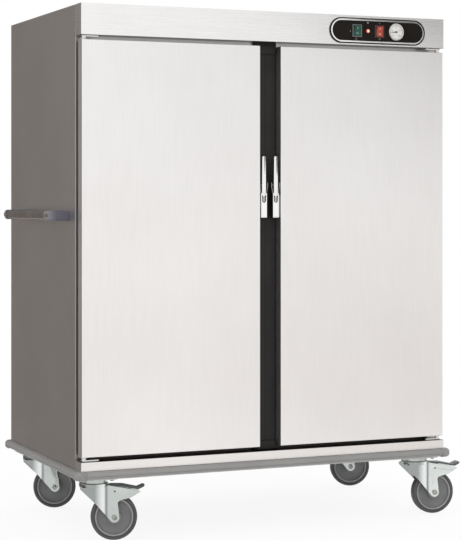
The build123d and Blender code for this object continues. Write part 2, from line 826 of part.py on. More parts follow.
def leg_outline(braked):
    """The side view of a fork leg, from the crown down to the axle boss."""
    boss = []
    for angle in range(20, -146, -15):
        a = radians(angle)
        boss.append((trail + fork_boss_r * cos(a), axle_z + fork_boss_r * sin(a)))
    if braked:
        top = [(54, 4), (100, -5), (157, -16), (159, -19.5), (126, -39), (91, -46.5), (82, -52), (80, -58)]
    else:
        top = [(54, 4), (68, -12), (76, -36), (78, -58)]
    start = [(-crown_half, crown_bottom + crown_thick)]
    end = drawn([(6, 47)], axle_z) + [(-crown_half, crown_bottom - 5)]
    return start + drawn(top, crown_bottom) + drawn([(83, 28)], axle_z) + boss + end


def fork(braked):
    """Crown with the lower race, two legs, and the brake's rivet on a braked caster."""
    crown = rod(0, 0, crown_bottom, race_joint, fork_race_d)
    crown = fillet(crown.edges().group_by(Axis.Z)[-1], 4)
    half = fork_inner + fork_thick
    bridge = block(-crown_half, crown_reach, -half, half, crown_bottom, crown_bottom + crown_thick)
    outline = leg_outline(braked)
    near = side_slab(outline, -half, -fork_inner)
    far = side_slab(outline, fork_inner, half)
    body = crown + bridge + near + far
    body -= rod(0, 0, crown_bottom - 10, race_joint + 1, kingpin_d + 2 * running_fit)
    body -= rod_y(trail, -half - 1, half + 1, axle_z, axle_d)
    if braked:
        body += rod_y(brake_pin_x, -half - 2, half + 2, brake_pin_z, brake_pin_d)
    return body


def axle():
    """The wheel bolt with its head, washer face and nut."""
    half = fork_inner + fork_thick
    bolt = rod_y(trail, -half - 2, half + 2, axle_z, axle_d)
    head = Pos(trail, -half, axle_z) * Rot(90, 0, 0) * extrude(RegularPolygon(10, 6), 6.5)
    nut = Pos(trail, half + 7, axle_z) * Rot(90, 0, 0) * extrude(RegularPolygon(10, 6), 7)
    return bolt + head + nut


def wheel():
    """The hub with its ring, web and boss, and the tyre round it."""
    half = wheel_width / 2
    hub = rod_y(trail, -half + 2, half - 2, axle_z, 2 * tyre_inner_r)
    hub -= rod_y(trail, -half, -hub_web_half, axle_z, 2 * hub_ring_r)
    hub -= rod_y(trail, hub_web_half, half, axle_z, 2 * hub_ring_r)
    hub += rod_y(trail, -hub_half, hub_half, axle_z, 2 * hub_boss_r)
    hub -= rod_y(trail, -hub_half - 1, hub_half + 1, axle_z, axle_d + 2 * running_fit)
    tyre = rod_y(trail, -half, half, axle_z, 2 * wheel_r)
    tyre = fillet(tyre.edges(), 7)
    tyre -= rod_y(trail, -half - 1, half + 1, axle_z, 2 * tyre_inner_r)
    return hub, tyre


def pedal():
    """The brake pedal: a bent strip above the arm, two ears on the rivet, a turned-up toe."""
    t = pedal_thick
    half = pedal_half
    strip = side_slab(drawn([(57, 1), (58, 5.5), (98, 4.5), (148, -6.5), (169, 2.5), (174, 2), (174, -2),
                             (151, -12), (97, -0.5)], crown_bottom), -half, half)
    toe = strip.edges().filter_by(Axis.Z).group_by(Axis.X)[-1]
    strip = fillet(toe, pedal_toe_round)
    flap = drawn([(60, 1), (84, 1), (80, -22), (62, -22)], crown_bottom)
    web = side_slab(flap, -half, -half + t)
    ear = side_slab(flap, half - t, half)
    body = strip + web + ear
    return body - rod_y(brake_pin_x, -40, 40, brake_pin_z, brake_pin_d + 2 * running_fit)


# Tray racks

def rack(side):
    """Two posts with hooked-on tray runners, standing against one wall of the left chamber."""
    wall_x = -chamber_out + rack_clear if side < 0 else -chamber_in - rack_clear
    inward = 1 if side < 0 else -1
    pieces = []
    for y in (runner_front + post_front_gap, runner_back - post_back_gap):
        pieces.append(block(wall_x, wall_x + inward * rack_post, y, y + rack_post_width,
                            chamber_floor, rack_top))
    edge = wall_x + inward * rack_post
    for level in range(rack_levels):
        z = rack_low + rack_pitch * level
        shelf = block(edge, edge + inward * runner_width, runner_front, runner_back, z, z + runner_thick)
        lip = block(edge, edge + inward * runner_thick, runner_front, runner_back, z, z + runner_lip)
        pieces.append(shelf + lip)
    return pieces


# Warm air unit

def fan(x):
    """A radial fan wheel with its shaft."""
    wheel_top = fan_low + fan_blade_h
    body = rod(x, fan_y, wheel_top, wheel_top + 2, fan_d)
    body += rod(x, fan_y, fan_low + 4, wheel_top + 6, 22)
    body += rod(x, fan_y, fan_low + 4, motor_low + 14, fan_shaft_d)
    for i in range(fan_blades):
        blade = block(38, fan_d / 2 - 1, -1, 1, fan_low, wheel_top + 1)
        body += Pos(x, fan_y, 0) * Rot(0, 0, 360 / fan_blades * i) * blade
    return body


def fan_motor(x):
    """The fan motor on three feet that stand on the chamber's ceiling."""
    body = rod(x, fan_y, motor_low, motor_high, motor_d)
    body = fillet(body.edges().group_by(Axis.Z)[-1], 5)
    for i in range(3):
        a = radians(90 + 120 * i)
        fx = x + 38 * cos(a)
        fy = fan_y + 38 * sin(a)
        body += rod(fx, fy, chamber_ceiling + sheet, motor_low + 1, 8)
    return body - rod(x, fan_y, motor_low - 1, motor_low + 16, fan_shaft_d + 2 * running_fit)


def heater(x):
    """A ring of heating rod round the fan with two legs up through the ceiling."""
    ring = Pos(x, fan_y, heater_z) * Torus(heater_ring_r, heater_rod_d / 2)
    for leg in heater_legs:
        ring += rod(x + leg, fan_y + heater_ring_r, heater_z, slab_top + 12, heater_rod_d)
    return ring


def baffle(x):
    """The sheet under the fan, with an inlet, hung from the ceiling by its two flanges."""
    plate = block(x - baffle_half_x, x + baffle_half_x, fan_y - baffle_half_y, fan_y + baffle_half_y,
                  baffle_z, baffle_z + sheet)
    for side in (-1, 1):
        edge = x + side * baffle_half_x
        plate += block(edge - side * sheet, edge, fan_y - baffle_half_y, fan_y + baffle_half_y,
                       baffle_z, chamber_ceiling)
    return plate - rod(x, fan_y, baffle_z - 1, baffle_z + 3, baffle_inlet_d)


# Cable gland

def gland():
    """The gland where the supply cable enters: thread, hexagon and domed nut."""
    body = rod_y(gland_x, back - 12, back + 6, gland_z, gland_thread_d)
    body += Pos(gland_x, back + 5, gland_z) * Rot(90, 0, 0) * extrude(RegularPolygon(gland_hexagon, 6), 5)
    body += rod_y(gland_x, back + 5, back + 18, gland_z, gland_thread_d + 2)
    body += Pos(gland_x, back - sheet, gland_z) * Rot(90, 0, 0) * extrude(RegularPolygon(gland_hexagon, 6), 5)
    return body - rod_y(gland_x, back - 20, back + 30, gland_z, gland_bore_d)


def main():
    os.makedirs("parts", exist_ok=True)
    inner = half_w - sheet

    panel = side_panel()
    save("left_side_panel", panel)
    save("right_side_panel", mirrored(panel))
    save("back_panel", back_panel())
    save("top_panel", block(-inner, inner, body_front, back - sheet, height - sheet, height))
    save("under_pan", block(-inner, inner, body_front, back - sheet, body_bottom, body_bottom + sheet))
    save("header_fascia", header_box())
    save("plinth", plinth_box())
    save("chassis_frame", chassis())
    liner = chamber_liner()
    save("left_liner", liner)
    save("right_liner", mirrored(liner))
    save("insulation_slabs", *insulation())
    save("mullion_cover", mullion_cover())
    save("mullion_end_caps", mullion_cap(cap_bottom_low, cap_bottom_low + low_cap_length),
         mullion_cap(cap_top_high - high_cap_length, cap_top_high))
    racks = rack(-1) + rack(1)
    save("tray_racks", *racks, *[mirrored(r) for r in racks])

    door_parts = {
        "door_skin": [door_skin()],
        "door_liner": [door_liner()],
        "door_core": [door_core()],
        "door_gasket": [door_gasket()],
        "door_bushes": [door_bush(True), door_bush(False)],
        "latch_housing": [latch_housing(), latch_pin()],
        "latch_lever": [latch_lever()],
    }
    for name, pieces in door_parts.items():
        save(f"left_{name}", *pieces)
        save(f"right_{name}", *[mirrored(p) for p in pieces])

    plates = [hinge_plate(True), hinge_plate(False)]
    save("hinge_plates", *plates, *[mirrored(p) for p in plates])

    bar = handle_bar()
    save("handle_bars", bar, mirrored(bar))
    end = handle_end()
    rear_end = mirror(end, about=Plane.XZ.offset(-handle_middle_y))
    save("handle_ends", end, rear_end, mirrored(end), mirrored(rear_end))

    rail = long_bumper()
    save("long_bumpers", rail, mirror(rail, about=Plane.XZ))
    rail = short_bumper()
    save("short_bumpers", rail, mirrored(rail))
    corner = bumper_corner_piece()
    corner_back = mirror(corner, about=Plane.XZ)
    save("bumper_corners", corner, corner_back, mirrored(corner), mirrored(corner_back))

    save("caster_heads", *[caster_head(sx, sy) for sx in (-1, 1) for sy in (-1, 1)])
    save("caster_bolts", *[caster_bolt(x, y) for x, y in bolt_places()])
    corners = {
        "front_left": (-1, -1, front_left_toe, True),
        "front_right": (1, -1, front_right_toe, True),
        "rear_left": (-1, 1, rear_left_toe, False),
        "rear_right": (1, 1, rear_right_toe, False),
    }
    for name, (sx, sy, toe, braked) in corners.items():
        save(f"{name}_fork", placed(fork(braked), sx, sy, toe), placed(axle(), sx, sy, toe))
        save(f"{name}_wheel", *[placed(p, sx, sy, toe) for p in wheel()])
        if braked:
            save(f"{name}_pedal", placed(pedal(), sx, sy, toe))

    save("control_bezel", control_bezel())
    save("control_plate", control_plate())
    save("rocker_frames", rocker_frame(green_x), rocker_frame(red_x))
    save("green_rocker", rocker(green_x))
    save("red_rocker", rocker(red_x))
    save("pilot_lamp", pilot_lamp())
    save("dial_case", *dial_case())
    save("dial_needle", dial_needle())

    save("left_fan", fan(-chamber_x))
    save("right_fan", fan(chamber_x))
    save("fan_motors", fan_motor(-chamber_x), fan_motor(chamber_x))
    save("heater_elements", heater(-chamber_x), heater(chamber_x))
    save("air_baffles", baffle(-chamber_x), baffle(chamber_x))
    save("mains_gland", gland())


main()
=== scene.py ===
import math

import bmesh
import bpy
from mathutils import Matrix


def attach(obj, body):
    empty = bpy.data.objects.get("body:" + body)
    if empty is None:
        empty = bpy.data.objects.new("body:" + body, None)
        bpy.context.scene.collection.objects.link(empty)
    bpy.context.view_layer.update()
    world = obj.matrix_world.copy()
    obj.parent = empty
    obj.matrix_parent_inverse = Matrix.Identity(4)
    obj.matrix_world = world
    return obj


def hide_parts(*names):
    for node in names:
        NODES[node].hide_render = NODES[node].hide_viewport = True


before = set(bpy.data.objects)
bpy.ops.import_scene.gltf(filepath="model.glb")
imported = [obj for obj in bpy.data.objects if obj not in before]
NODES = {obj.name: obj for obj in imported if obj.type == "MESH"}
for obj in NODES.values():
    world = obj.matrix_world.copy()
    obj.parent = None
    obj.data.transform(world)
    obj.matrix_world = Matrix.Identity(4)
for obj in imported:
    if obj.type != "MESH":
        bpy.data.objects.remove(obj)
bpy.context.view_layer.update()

# Sizes and places on the cart, in metres and degrees, in the frame of the solids
FRONT = -0.422
PANEL_X = 0.4265
PANEL_Z = 1.776
PLATE_FRONT = FRONT - 0.002
GREEN_X = 0.342
RED_X = 0.433
LAMP_X = 0.386
DIAL_X = 0.4975
SWIVEL_X = 0.628
SWIVEL_Y = 0.337
TRAIL = 0.069
AXLE_Z = 0.080
SEAL_LENGTH = 0.3884
SEAL_TALL = 0.0924
DIAL_START = -135.0
DIAL_END = 135.0
DIAL_STEPS = 20
DIAL_TOP = 120
LEG_LEAN = 0.11
LEG_INNER = 0.0238
LEG_OUTER = 0.0272
LEG_TOP = 0.1905
AXLE_END_RADIUS = 0.0125
RIVET_REACH = 0.070
RIVET_HEIGHT = 0.170
DIAL_HOLLOW = 0.0266
DIAL_FACE_BACK = 0.0058
DIAL_FACE = 0.0070
DIAL_INK = 0.0071
WINDOW_BACK = 0.0106
WINDOW_FRONT = 0.0116
INK_THICK = 0.0003
INK_ROUND = 0.00008
# Each caster: its side of the cart, front or back, and how many degrees its wheel is turned
CORNERS = {
    "front_left": (-1, -1, 15), "front_right": (1, -1, 8),
    "rear_left": (-1, 1, 15), "rear_right": (1, 1, 17),
}
# Where each fork's pressed fold runs, measured from the swivel's axis towards the axle
FOLD_REACH = {"front_left": 0.041, "front_right": 0.041, "rear_left": 0.024, "rear_right": 0.024}

# Camera, fitted to the photograph
CAMERA_PLACE = (-2.529, -5.922, 1.1716)
CAMERA_HEADING = -23.355
CAMERA_LENS = 114.39
CAMERA_SENSOR = 36.0
CAMERA_RISE = -0.1328


# Node groups shared by the materials

def new_group(name, inputs, outputs):
    """An empty node group with named sockets."""
    group = bpy.data.node_groups.new(name, "ShaderNodeTree")
    for label, kind, value in inputs:
        sock = group.interface.new_socket(label, in_out="INPUT", socket_type=kind)
        sock.default_value = value
    for label, kind in outputs:
        group.interface.new_socket(label, in_out="OUTPUT", socket_type=kind)
    start = group.nodes.new("NodeGroupInput")
    end = group.nodes.new("NodeGroupOutput")
    return group, start, end


def brushed_group():
    """Fine parallel grain: noise squeezed along two axes and stretched along the third."""
    group, start, end = new_group(
        "brushed_grain",
        [("Stretch", "NodeSocketVector", (1.0, 1.0, 1.0)), ("Cloud Size", "NodeSocketFloat", 2.0)],
        [("Grain", "NodeSocketFloat"), ("Cloud", "NodeSocketFloat")])
    links = group.links
    place = group.nodes.new("ShaderNodeTexCoord")
    squeeze = group.nodes.new("ShaderNodeVectorMath")
    squeeze.operation = "MULTIPLY"
    links.new(place.outputs["Object"], squeeze.inputs[0])
    links.new(start.outputs["Stretch"], squeeze.inputs[1])
    grain = group.nodes.new("ShaderNodeTexNoise")
    grain.inputs["Scale"].default_value = 1.0
    grain.inputs["Detail"].default_value = 4.0
    grain.inputs["Roughness"].default_value = 0.7
    links.new(squeeze.outputs[0], grain.inputs["Vector"])
    cloud = group.nodes.new("ShaderNodeTexNoise")
    cloud.inputs["Detail"].default_value = 3.0
    cloud.inputs["Roughness"].default_value = 0.55
    links.new(place.outputs["Object"], cloud.inputs["Vector"])
    links.new(start.outputs["Cloud Size"], cloud.inputs["Scale"])
    links.new(grain.outputs["Fac"], end.inputs["Grain"])
    links.new(cloud.outputs["Fac"], end.inputs["Cloud"])
    return group


def speckle_group():
    """A fine stipple and a broad mottling, for moulded and cast surfaces."""
    group, start, end = new_group(
        "moulded_stipple",
        [("Stipple Size", "NodeSocketFloat", 900.0), ("Mottle Size", "NodeSocketFloat", 12.0)],
        [("Stipple", "NodeSocketFloat"), ("Mottle", "NodeSocketFloat")])
    links = group.links
    place = group.nodes.new("ShaderNodeTexCoord")
    fine = group.nodes.new("ShaderNodeTexNoise")
    fine.inputs["Detail"].default_value = 2.0
    links.new(place.outputs["Object"], fine.inputs["Vector"])
    links.new(start.outputs["Stipple Size"], fine.inputs["Scale"])
    broad = group.nodes.new("ShaderNodeTexNoise")
    broad.inputs["Detail"].default_value = 4.0
    links.new(place.outputs["Object"], broad.inputs["Vector"])
    links.new(start.outputs["Mottle Size"], broad.inputs["Scale"])
    links.new(fine.outputs["Fac"], end.inputs["Stipple"])
    links.new(broad.outputs["Fac"], end.inputs["Mottle"])
    return group


BRUSHED = brushed_group()
STIPPLE = speckle_group()


GRAIN_DEPTH = 0.00004
STREAK = (0.35, 0.34, 0.33)


def ramp(tree, source, low, high, at_low, at_high):
    """A grey ramp between two values, for roughness or a mask."""
    node = tree.nodes.new("ShaderNodeMapRange")
    node.inputs["From Min"].default_value = at_low
    node.inputs["From Max"].default_value = at_high
    node.inputs["To Min"].default_value = low
    node.inputs["To Max"].default_value = high
    tree.links.new(source, node.inputs["Value"])
    return node.outputs["Result"]


def mix(tree, mask, one, two):
    """A colour between two colours, or sockets, by a mask."""
    node = tree.nodes.new("ShaderNodeMix")
    node.data_type = "RGBA"
    tree.links.new(mask, node.inputs["Factor"])
    for value, socket in ((one, node.inputs[6]), (two, node.inputs[7])):
        if isinstance(value, bpy.types.NodeSocket):
            tree.links.new(value, socket)
        else:
            socket.default_value = (*value, 1.0)
    return node.outputs[2]


def plain_material(name, metallic, **sockets):
    """A material with its own shader, and the constants set on the shader's sockets."""
    material = bpy.data.materials.new(name)
    material.use_nodes = True
    tree = material.node_tree
    shader = tree.nodes["Principled BSDF"]
    shader.inputs["Metallic"].default_value = metallic
    for label, value in sockets.items():
        shader.inputs[label.replace("_", " ")].default_value = value
    return material, tree, shader


def bump(tree, shader, height, strength, distance):
    """Small relief from a height."""
    node = tree.nodes.new("ShaderNodeBump")
    node.inputs["Strength"].default_value = strength
    node.inputs["Distance"].default_value = distance
    tree.links.new(height, node.inputs["Height"])
    tree.links.new(node.outputs["Normal"], shader.inputs["Normal"])


def brushed_metal(name, dark, light, rough, stretch, cloud=2.0, painted_shade_span=None, painted_shade=(0.16, 0.15, 0.145)):
    """Sheet or bar metal with a directional grain and slow changes of tone.

    The last two arguments lay painted shade on the folded edges: the axis and the two places between which the
    sheet turns to the painted shade, and the shade's colour.
    """
    material, tree, shader = plain_material(name, 1.0)
    grain = tree.nodes.new("ShaderNodeGroup")
    grain.node_tree = BRUSHED
    grain.inputs["Stretch"].default_value = stretch
    grain.inputs["Cloud Size"].default_value = cloud
    tone = mix(tree, ramp(tree, grain.outputs["Cloud"], 0.0, 1.0, 0.3, 0.7), dark, light)
    streak = ramp(tree, grain.outputs["Grain"], 0.0, 0.10, 0.35, 0.65)
    tone = mix(tree, streak, tone, STREAK)
    # Painted shade: the folded edges get a darker colour by their place, standing for the shade they sit in.
    if painted_shade_span:
        axis, start, end = painted_shade_span
        place = tree.nodes.new("ShaderNodeTexCoord")
        split = tree.nodes.new("ShaderNodeSeparateXYZ")
        tree.links.new(place.outputs["Object"], split.inputs[0])
        tone = mix(tree, ramp(tree, split.outputs[axis], 0.0, 1.0, start, end), tone, painted_shade)
    tree.links.new(tone, shader.inputs["Base Color"])
    tree.links.new(ramp(tree, grain.outputs["Grain"], rough - 0.05, rough + 0.05, 0.3, 0.7),
                   shader.inputs["Roughness"])
    bump(tree, shader, grain.outputs["Grain"], 0.25, GRAIN_DEPTH)
    return material


def moulded(name, dark, light, rough, stipple=900.0, mottle=12.0, metallic=0.0, depth=0.0001, **sockets):
    """Plastic, rubber or cast metal with a fine stipple."""
    material, tree, shader = plain_material(name, metallic, **sockets)
    skin = tree.nodes.new("ShaderNodeGroup")
    skin.node_tree = STIPPLE
    skin.inputs["Stipple Size"].default_value = stipple
    skin.inputs["Mottle Size"].default_value = mottle
    tree.links.new(mix(tree, ramp(tree, skin.outputs["Mottle"], 0.0, 1.0, 0.3, 0.7), dark, light),
                   shader.inputs["Base Color"])
    tree.links.new(ramp(tree, skin.outputs["Stipple"], rough - 0.06, rough + 0.06, 0.3, 0.7),
                   shader.inputs["Roughness"])
    bump(tree, shader, skin.outputs["Stipple"], 0.3, depth)
    return material


# Finishes. The grain runs upright on the doors and sides and level on the header and plinth.
# Tones that stand for shade or for a gleam are set against the photograph.
UPRIGHT = (900.0, 900.0, 6.0)
LEVEL = (6.0, 900.0, 900.0)
FRONT_TO_BACK = (900.0, 6.0, 900.0)
PLAIN_ZINC = 0.58
# Painted light: the front right fork's zinc is painted lighter all over, standing for the light that falls on
# it.
LIT_ZINC = 0.74
LIT_CORNER = "front_right"
# Painted highlight beside each fork's fold, painted shadow in the fold, painted shade on the far part of the
# legs.
FOLD_HIGHLIGHT = (0.84, 0.86, 0.85)
FOLD_SHADE = (0.30, 0.315, 0.31)
FAR_LEG_SHADE = (0.36, 0.38, 0.37)

FINISH = {
    "door_steel": brushed_metal("door_steel", (0.90, 0.885, 0.875), (0.95, 0.94, 0.932), 0.34, UPRIGHT),
    # Painted shade: the side and back panels are the door steel made darker and warmer, standing in part for
    # the dark surroundings they reflect.
    "shaded_side_steel": brushed_metal("shaded_side_steel", (0.70, 0.665, 0.635), (0.77, 0.735, 0.705), 0.32, UPRIGHT),
    # Painted shade: the header's underside and its lowest millimetre are darkened.
    "header_steel": brushed_metal("header_steel", (0.89, 0.88, 0.875), (0.95, 0.945, 0.94), 0.26, LEVEL,
                                  painted_shade_span=(2, 1.7252, 1.7243)),
    # Painted shade: the plinth's top is nearly black, standing for the dark gap under the doors.
    "plinth_steel": brushed_metal("plinth_steel", (0.87, 0.85, 0.83), (0.91, 0.89, 0.87), 0.30, LEVEL,
                                  painted_shade_span=(2, 0.2800, 0.2808), painted_shade=(0.035, 0.03, 0.026)),
    # Painted shade: inner steel below the doors' bottom edge turns nearly black.
    "inner_steel": brushed_metal("inner_steel", (0.62, 0.62, 0.62), (0.72, 0.72, 0.71), 0.40, UPRIGHT,
                                 painted_shade_span=(2, 0.3000, 0.2965), painted_shade=(0.06, 0.055, 0.05)),
    "rack_steel": brushed_metal("rack_steel", (0.60, 0.60, 0.60), (0.70, 0.70, 0.70), 0.30, FRONT_TO_BACK),
    "frame_zinc": moulded("frame_zinc", (0.42, 0.43, 0.42), (0.56, 0.57, 0.56), 0.45, 60.0, 14.0, 0.9),
    "wool": moulded("wool", (0.52, 0.44, 0.22), (0.74, 0.66, 0.38), 0.95, 300.0, 30.0, 0.0, 0.002),
    "foam": moulded("foam", (0.74, 0.66, 0.44), (0.85, 0.78, 0.58), 0.9, 700.0, 20.0, 0.0, 0.0005),
    "black_profile": moulded("black_profile", (0.014, 0.013, 0.012), (0.022, 0.020, 0.019), 0.55, 700.0, 9.0,
                             Specular_IOR_Level=0.3),
    "gasket": moulded("gasket", (0.008, 0.007, 0.007), (0.014, 0.012, 0.011), 0.6, 500.0, 20.0,
                      Specular_IOR_Level=0.15),
    "nylon": moulded("nylon", (0.72, 0.72, 0.70), (0.80, 0.80, 0.78), 0.4),
    "latch_chrome": brushed_metal("latch_chrome", (0.90, 0.90, 0.90), (0.94, 0.94, 0.94), 0.16, UPRIGHT, 20.0),
    # Painted shade: the housing turns darker behind its front face, on its sides.
    "latch_body": brushed_metal("latch_body", (0.94, 0.94, 0.94), (0.97, 0.97, 0.97), 0.16, UPRIGHT, 20.0,
                                painted_shade_span=(1, -0.4163, -0.4148), painted_shade=(0.28, 0.27, 0.265)),
    "hinge_steel": brushed_metal("hinge_steel", (0.70, 0.70, 0.70), (0.82, 0.82, 0.82), 0.25, LEVEL, 20.0),
    # Painted reflection: the tube's brown-grey colour stands for the dark surroundings it reflects.
    "handle_tube": brushed_metal("handle_tube", (0.42, 0.37, 0.34), (0.55, 0.50, 0.47), 0.25,
                                 FRONT_TO_BACK, 8.0),
    "bumper_plastic": moulded("bumper_plastic", (0.27, 0.265, 0.26), (0.31, 0.305, 0.30), 0.38, 500.0, 5.0),
    "corner_plastic": moulded("corner_plastic", (0.23, 0.225, 0.22), (0.30, 0.295, 0.29), 0.5, 260.0, 60.0,
                              0.0, 0.0006),
    "zinc": moulded("zinc", (0.47, 0.505, 0.485), (0.55, 0.58, 0.56), 0.26, 300.0, 16.0, 1.0, 0.00001),
    "bolt_zinc": moulded("bolt_zinc", (0.22, 0.22, 0.21), (0.40, 0.40, 0.38), 0.2, 200.0, 60.0, 0.95),
    "wheel_hub": moulded("wheel_hub", (0.165, 0.165, 0.167), (0.215, 0.215, 0.218), 0.42, 500.0, 22.0),
    # Painted highlight: the bead at the hub's rim is a lighter grey than the hub, standing for a thin line of
    # light.
    "rim_highlight": moulded("rim_highlight", (0.32, 0.32, 0.322), (0.40, 0.40, 0.402), 0.38, 500.0, 22.0),
    "tyre_rubber": moulded("tyre_rubber", (0.065, 0.065, 0.067), (0.095, 0.095, 0.098), 0.55, 400.0, 18.0),
    "pedal_metal": moulded("pedal_metal", (0.07, 0.08, 0.08), (0.12, 0.13, 0.13), 0.35, 120.0, 30.0, 0.6),
    "bezel_chrome": brushed_metal("bezel_chrome", (0.97, 0.97, 0.96), (0.99, 0.99, 0.99), 0.12, LEVEL, 20.0),
    "panel_black": moulded("panel_black", (0.008, 0.006, 0.005), (0.013, 0.010, 0.008), 0.30, 900.0, 30.0,
                           Specular_IOR_Level=0.12),
    "switch_frame": moulded("switch_frame", (0.035, 0.035, 0.035), (0.05, 0.05, 0.05), 0.4),
    "green_switch": moulded("green_switch", (0.003, 0.06, 0.038), (0.006, 0.095, 0.06), 0.25, 300.0, 90.0),
    "red_switch": moulded("red_switch", (0.34, 0.035, 0.02), (0.44, 0.06, 0.03), 0.25, 300.0, 90.0),
    "dial_case": brushed_metal("dial_case", (0.55, 0.55, 0.55), (0.75, 0.75, 0.75), 0.22, LEVEL, 30.0),
    "needle": moulded("needle", (0.01, 0.01, 0.01), (0.02, 0.02, 0.02), 0.4),
    "fan_metal": brushed_metal("fan_metal", (0.60, 0.61, 0.62), (0.70, 0.71, 0.72), 0.32, LEVEL, 20.0),
    "motor_paint": moulded("motor_paint", (0.08, 0.085, 0.09), (0.12, 0.125, 0.13), 0.5, 300.0, 30.0),
    "heater_sheath": moulded("heater_sheath", (0.06, 0.05, 0.045), (0.14, 0.12, 0.10), 0.5, 200.0, 30.0, 0.8),
    "gland_black": moulded("gland_black", (0.012, 0.012, 0.012), (0.02, 0.02, 0.02), 0.45),
    "frame_grey": moulded("frame_grey", (0.13, 0.13, 0.13), (0.19, 0.19, 0.185), 0.4),
    "frame_red": moulded("frame_red", (0.06, 0.012, 0.010), (0.10, 0.02, 0.016), 0.4),
    "bezel_seal": moulded("bezel_seal", (0.006, 0.005, 0.005), (0.010, 0.009, 0.008), 0.5,
                          Specular_IOR_Level=0.1),
    "panel_print": moulded("panel_print", (0.22, 0.21, 0.20), (0.30, 0.29, 0.28), 0.5),
    "green_mark": moulded("green_mark", (0.16, 0.42, 0.33), (0.22, 0.50, 0.40), 0.4),
    "red_mark": moulded("red_mark", (0.80, 0.50, 0.42), (0.86, 0.58, 0.50), 0.4),
    "dial_paint": moulded("dial_paint", (0.74, 0.73, 0.71), (0.82, 0.81, 0.79), 0.5, 600.0, 60.0),
    "dial_ink": moulded("dial_ink", (0.02, 0.02, 0.02), (0.05, 0.05, 0.05), 0.5),
}


def lamp_material():
    """The lit lens of the pilot lamp: pale in the middle, deep red at its edge."""
    material, tree, shader = plain_material("lamp_lens", 0.0, Roughness=0.15, Emission_Strength=1.0)
    place = tree.nodes.new("ShaderNodeTexCoord")
    off = tree.nodes.new("ShaderNodeVectorMath")
    off.operation = "SUBTRACT"
    off.inputs[1].default_value = (LAMP_X, 0.0, PANEL_Z)
    tree.links.new(place.outputs["Object"], off.inputs[0])
    flat = tree.nodes.new("ShaderNodeVectorMath")
    flat.operation = "MULTIPLY"
    flat.inputs[1].default_value = (1.0, 0.0, 1.0)
    tree.links.new(off.outputs[0], flat.inputs[0])
    reach = tree.nodes.new("ShaderNodeVectorMath")
    reach.operation = "LENGTH"
    tree.links.new(flat.outputs[0], reach.inputs[0])
    spread = ramp(tree, reach.outputs["Value"], 0.0, 1.0, 0.0012, 0.0070)
    glow = mix(tree, spread, (1.0, 0.72, 0.58), (0.30, 0.018, 0.008))
    tree.links.new(glow, shader.inputs["Emission Color"])
    tree.links.new(mix(tree, spread, (0.55, 0.30, 0.20), (0.25, 0.02, 0.01)), shader.inputs["Base Color"])
    return material


def glass_material():
    """Clear flat window with a faint unevenness."""
    material, tree, shader = plain_material("dial_glass", 0.0, Roughness=0.03, IOR=1.2,
                                            Transmission_Weight=1.0)
    shader.inputs["Base Color"].default_value = (0.97, 0.97, 0.97, 1.0)
    skin = tree.nodes.new("ShaderNodeGroup")
    skin.node_tree = STIPPLE
    skin.inputs["Stipple Size"].default_value = 60.0
    bump(tree, shader, skin.outputs["Mottle"], 0.05, 0.0001)
    return material


def fork_material(corner, fold_reach, glow):
    """Zinc of one fork with painted light: a painted highlight band beside its pressed fold, a painted shadow
    line in the fold, and painted shade on the far part of its legs.
    """
    sx, sy, toe = CORNERS[corner]
    turn = math.radians(toe)
    along = (math.cos(turn), -math.sin(turn), 0.0)
    material, tree, shader = plain_material(f"{corner}_zinc", 1.0)
    skin = tree.nodes.new("ShaderNodeGroup")
    skin.node_tree = STIPPLE
    skin.inputs["Stipple Size"].default_value = 300.0
    skin.inputs["Mottle Size"].default_value = 16.0
    place = tree.nodes.new("ShaderNodeTexCoord")
    reach = tree.nodes.new("ShaderNodeVectorMath")
    reach.operation = "DOT_PRODUCT"
    reach.inputs[1].default_value = along
    tree.links.new(place.outputs["Object"], reach.inputs[0])
    fold = sx * SWIVEL_X * along[0] + sy * SWIVEL_Y * along[1] + fold_reach
    away = tree.nodes.new("ShaderNodeMath")
    away.operation = "SUBTRACT"
    away.inputs[1].default_value = fold
    tree.links.new(reach.outputs["Value"], away.inputs[0])
    gap = tree.nodes.new("ShaderNodeMath")
    gap.operation = "ABSOLUTE"
    tree.links.new(away.outputs[0], gap.inputs[0])
    tone = mix(tree, ramp(tree, skin.outputs["Mottle"], 0.0, 1.0, 0.3, 0.7), (glow - 0.04, glow, glow - 0.02),
               (glow + 0.04, glow + 0.07, glow + 0.05))
    # Painted highlight beside the fold, painted shade on the far part of the legs, and a painted shadow line
    # in the fold.
    tone = mix(tree, ramp(tree, away.outputs[0], 0.0, 1.0, 0.0, -0.007), tone, FOLD_HIGHLIGHT)
    tone = mix(tree, ramp(tree, away.outputs[0], 0.0, 1.0, -0.016, -0.040), tone, FAR_LEG_SHADE)
    tone = mix(tree, ramp(tree, gap.outputs[0], 1.0, 0.0, 0.001, 0.007), tone, FOLD_SHADE)
    tree.links.new(tone, shader.inputs["Base Color"])
    tree.links.new(ramp(tree, skin.outputs["Stipple"], 0.20, 0.30, 0.3, 0.7), shader.inputs["Roughness"])
    return material


